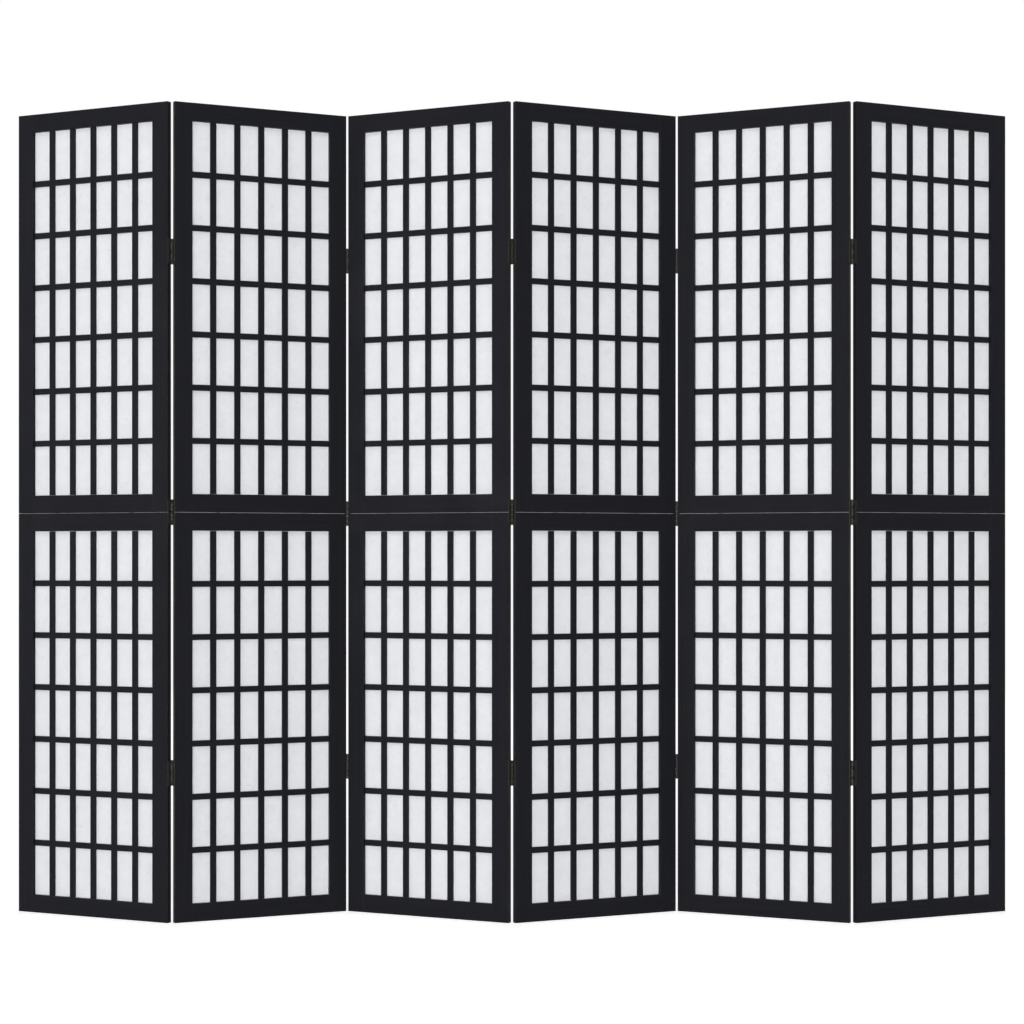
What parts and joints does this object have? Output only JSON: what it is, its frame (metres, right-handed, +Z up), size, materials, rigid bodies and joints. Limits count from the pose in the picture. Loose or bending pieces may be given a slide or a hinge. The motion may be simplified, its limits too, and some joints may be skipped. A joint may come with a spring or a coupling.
{
  "type": "folding screen",
  "caption": "Free-standing folding room screen: black wooden frames with a lattice over white paper, hinged edge to edge so that the panels fold flat or stand in a zigzag.",
  "frame": {"origin": "on the floor, in the middle of the standing screen's length and depth", "axes": "+X along the screen from its left end to its right end as seen from the lattice side, -Y to that front, +Z up"},
  "size_m": [2.2338, 0.1802, 1.8],
  "materials": {
    "painted_frame": "satin",
    "painted_lattice": "satin",
    "paper": "matte",
    "dowel_wood": "matte",
    "hinge_bronze": "satin",
    "screw_steel": "satin"
  },
  "bodies": {
    "panel_1": {"panel_1_stiles": "painted_frame", "panel_1_rails": "painted_frame", "panel_1_upright_bars": "painted_lattice", "panel_1_cross_bars": "painted_lattice", "panel_1_papers": "paper", "panel_1_paper_beads": "painted_lattice", "panel_1_dowels": "dowel_wood", "panel_1_hinge_leaves": "hinge_bronze", "panel_1_hinge_screws": "screw_steel", "fold_1_2_hinge_pins": "screw_steel"},
    "panel_2": {"panel_2_stiles": "painted_frame", "panel_2_rails": "painted_frame", "panel_2_upright_bars": "painted_lattice", "panel_2_cross_bars": "painted_lattice", "panel_2_papers": "paper", "panel_2_paper_beads": "painted_lattice", "panel_2_dowels": "dowel_wood", "panel_2_hinge_leaves": "hinge_bronze", "panel_2_hinge_screws": "screw_steel", "fold_2_3_hinge_pins": "screw_steel"},
    "panel_3": {"panel_3_stiles": "painted_frame", "panel_3_rails": "painted_frame", "panel_3_upright_bars": "painted_lattice", "panel_3_cross_bars": "painted_lattice", "panel_3_papers": "paper", "panel_3_paper_beads": "painted_lattice", "panel_3_dowels": "dowel_wood", "panel_3_hinge_leaves": "hinge_bronze", "panel_3_hinge_screws": "screw_steel", "fold_3_4_hinge_pins": "screw_steel"},
    "panel_4": {"panel_4_stiles": "painted_frame", "panel_4_rails": "painted_frame", "panel_4_upright_bars": "painted_lattice", "panel_4_cross_bars": "painted_lattice", "panel_4_papers": "paper", "panel_4_paper_beads": "painted_lattice", "panel_4_dowels": "dowel_wood", "panel_4_hinge_leaves": "hinge_bronze", "panel_4_hinge_screws": "screw_steel", "fold_4_5_hinge_pins": "screw_steel"},
    "panel_5": {"panel_5_stiles": "painted_frame", "panel_5_rails": "painted_frame", "panel_5_upright_bars": "painted_lattice", "panel_5_cross_bars": "painted_lattice", "panel_5_papers": "paper", "panel_5_paper_beads": "painted_lattice", "panel_5_dowels": "dowel_wood", "panel_5_hinge_leaves": "hinge_bronze", "panel_5_hinge_screws": "screw_steel", "fold_5_6_hinge_pins": "screw_steel"},
    "panel_6": {"panel_6_stiles": "painted_frame", "panel_6_rails": "painted_frame", "panel_6_upright_bars": "painted_lattice", "panel_6_cross_bars": "painted_lattice", "panel_6_papers": "paper", "panel_6_paper_beads": "painted_lattice", "panel_6_dowels": "dowel_wood", "panel_6_hinge_leaves": "hinge_bronze", "panel_6_hinge_screws": "screw_steel"}
  },
  "joints": [
    {"name": "fold_3_4", "type": "hinge", "parent": "panel_3", "child": "panel_4", "pos_m": [0, -0.07792, 0], "axis": [0, 0, 1], "range_deg": [-49.6, 130.4]},
    {"name": "fold_4_5", "type": "hinge", "parent": "panel_4", "child": "panel_5", "pos_m": [0.37303, 0.07792, 0], "axis": [0, 0, -1], "range_deg": [-49.6, 130.4]},
    {"name": "fold_5_6", "type": "hinge", "parent": "panel_5", "child": "panel_6", "pos_m": [0.74607, -0.07792, 0], "axis": [0, 0, 1], "range_deg": [-49.6, 130.4]},
    {"name": "fold_2_3", "type": "hinge", "parent": "panel_3", "child": "panel_2", "pos_m": [-0.37303, 0.07792, 0], "axis": [0, 0, 1], "range_deg": [-49.6, 130.4]},
    {"name": "fold_1_2", "type": "hinge", "parent": "panel_2", "child": "panel_1", "pos_m": [-0.74607, -0.07792, 0], "axis": [0, 0, -1], "range_deg": [-49.6, 130.4]}
  ]
}
